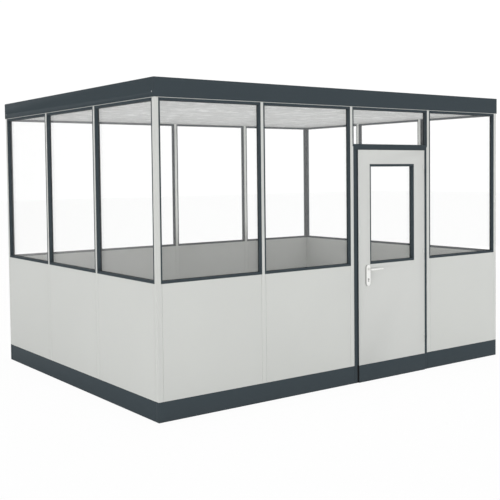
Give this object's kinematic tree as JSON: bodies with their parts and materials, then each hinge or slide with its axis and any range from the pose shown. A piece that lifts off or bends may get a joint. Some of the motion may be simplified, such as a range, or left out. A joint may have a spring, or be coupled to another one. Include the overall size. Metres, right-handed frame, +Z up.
{
  "type": "in-plant office",
  "caption": "Free-standing in-plant office with glazed walls over solid lower panels, a half-glazed hinged door with a light over it, and a flat roof.",
  "frame": {"origin": "on the ground, in the middle of the front wall's length and halfway through its thickness", "axes": "+X to the right along the front wall, +Y towards the back wall, +Z up"},
  "size_m": [4.055, 3.128, 2.655],
  "materials": {
    "light_grey_panel": "satin powder coat, light grey",
    "door_panel": "satin powder coat, light grey",
    "anthracite_frame": "satin powder coat, anthracite grey",
    "glazing": "clear float glass",
    "ceiling_white": "matt white mineral-fibre tiles",
    "roof_sheet": "matt sheet",
    "satin_metal": "satin"
  },
  "bodies": {
    "office": {"base_front_left": "anthracite_frame", "base_front_right": "anthracite_frame", "base_back": "anthracite_frame", "base_left": "anthracite_frame", "base_right": "anthracite_frame", "corner_posts": "light_grey_panel", "front_posts": "light_grey_panel", "back_posts": "light_grey_panel", "left_posts": "light_grey_panel", "right_posts": "light_grey_panel", "front_panels": "light_grey_panel", "back_panels": "light_grey_panel", "left_panels": "light_grey_panel", "right_panels": "light_grey_panel", "front_window_frames": "anthracite_frame", "back_window_frames": "anthracite_frame", "left_window_frames": "anthracite_frame", "right_window_frames": "anthracite_frame", "transom_frame": "anthracite_frame", "front_glass": "glazing", "back_glass": "glazing", "left_glass": "glazing", "right_glass": "glazing", "transom_glass": "glazing", "front_top_rail": "light_grey_panel", "back_top_rail": "light_grey_panel", "left_top_rail": "light_grey_panel", "right_top_rail": "light_grey_panel", "front_fascia": "anthracite_frame", "back_fascia": "anthracite_frame", "left_fascia": "anthracite_frame", "right_fascia": "anthracite_frame", "ceiling": "ceiling_white", "roof_deck": "roof_sheet", "door_jambs": "anthracite_frame", "door_head": "anthracite_frame", "frame_hinges": "anthracite_frame"},
    "door": {"door_leaf": "door_panel", "door_kick_plate": "anthracite_frame", "door_glazing_frame": "anthracite_frame", "door_glass": "glazing", "lock_plates": "satin_metal", "lock_cylinder": "satin_metal", "leaf_hinges": "anthracite_frame"},
    "lever": {"lever_handles": "satin_metal"}
  },
  "joints": [
    {"name": "door_hinge", "type": "hinge", "parent": "office", "child": "door", "pos_m": [0.9455, -0.0315, 1], "axis": [0, 0, 1], "range_deg": [0, 110]},
    {"name": "lever_turn", "type": "hinge", "parent": "door", "child": "lever", "pos_m": [0.1795, -0.0315, 1.032], "axis": [0, 1, 0], "range_deg": [0, 40], "stiffness_Nm_per_rad": 1.5, "springref_deg": -28.65}
  ]
}
